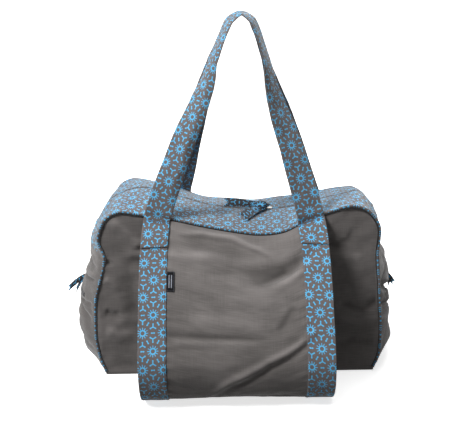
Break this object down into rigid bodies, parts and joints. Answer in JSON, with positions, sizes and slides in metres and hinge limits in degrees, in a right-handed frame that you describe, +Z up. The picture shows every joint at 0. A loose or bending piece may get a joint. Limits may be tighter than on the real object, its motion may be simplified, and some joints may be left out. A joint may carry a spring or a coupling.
{
  "type": "yoga mat bag",
  "caption": "Canvas bag with a printed zip top, piped seams, side pocket zips, long strap handles and an open sling under its front for a rolled mat.",
  "frame": {"origin": "the middle of the underside of the bag's base, on the surface it stands on", "axes": "+Z up towards the handles, +X across the bag to the right as its front is seen, -Y out of its front, where the mat sling hangs"},
  "size_m": [0.5965, 0.3533, 0.6052],
  "materials": {
    "canvas": "matt cotton canvas",
    "print": "matt cotton, printed in sky blue on taupe",
    "zip": "dark nylon coil",
    "slider": "nickel-plated",
    "label": "woven"
  },
  "bodies": {
    "root": {"front_panel": "canvas", "back_panel": "canvas", "top_gusset_front": "print", "top_gusset_back": "print", "side_gusset_left": "canvas", "side_gusset_right": "canvas", "base_panel": "canvas", "piping_front": "print", "piping_back": "print", "zip_chain": "zip", "zip_slider": "slider", "zip_pull_ribbon": "print", "side_zip_left": "zip", "side_zip_right": "zip", "side_slider_left": "slider", "side_slider_right": "slider", "side_ribbon_left": "print", "side_ribbon_right": "print", "sling_panel": "canvas", "strap_lower_left": "print", "strap_lower_right": "print", "strap_back_left": "print", "strap_back_right": "print", "handle_front": "print", "handle_back": "print", "label": "label"}
  },
  "joints": []
}
